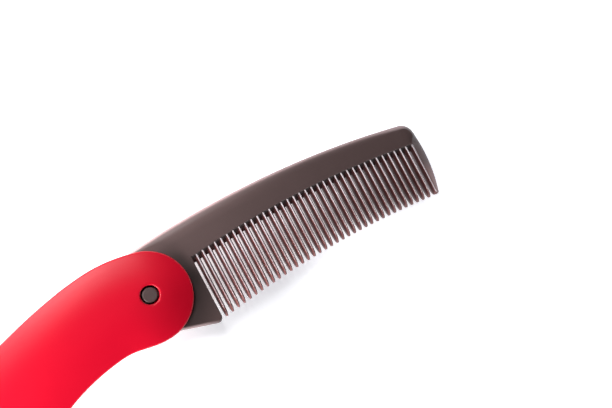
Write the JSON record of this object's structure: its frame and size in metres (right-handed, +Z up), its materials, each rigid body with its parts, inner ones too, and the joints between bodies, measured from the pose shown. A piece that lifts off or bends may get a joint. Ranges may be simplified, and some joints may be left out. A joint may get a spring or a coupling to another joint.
{
  "type": "folding pocket comb",
  "caption": "Folding pocket comb: a fine-toothed arched comb that turns on a pin and folds into the slot of a curved two-shell handle.",
  "frame": {"origin": "middle of the open comb's box in plan, on the surface that it lies on", "axes": "+X along the open comb from the handle's butt to the comb's end, +Y away from the teeth, +Z up out of the handle's crowned face and along the pivot"},
  "size_m": [0.1766, 0.0472, 0.0092],
  "materials": {
    "red_plastic": "smooth moulded, satin gloss",
    "brown_plastic": "smooth moulded, soft gloss"
  },
  "bodies": {
    "handle": {"handle_top": "red_plastic", "handle_bottom": "red_plastic", "pivot_pin": "brown_plastic"},
    "comb": {"comb_blade": "brown_plastic"}
  },
  "joints": [
    {"name": "comb_fold", "type": "hinge", "parent": "handle", "child": "comb", "pos_m": [0.00131, 0.01041, 0.0046], "axis": [0, 0, 1], "range_deg": [-160, 0]}
  ]
}
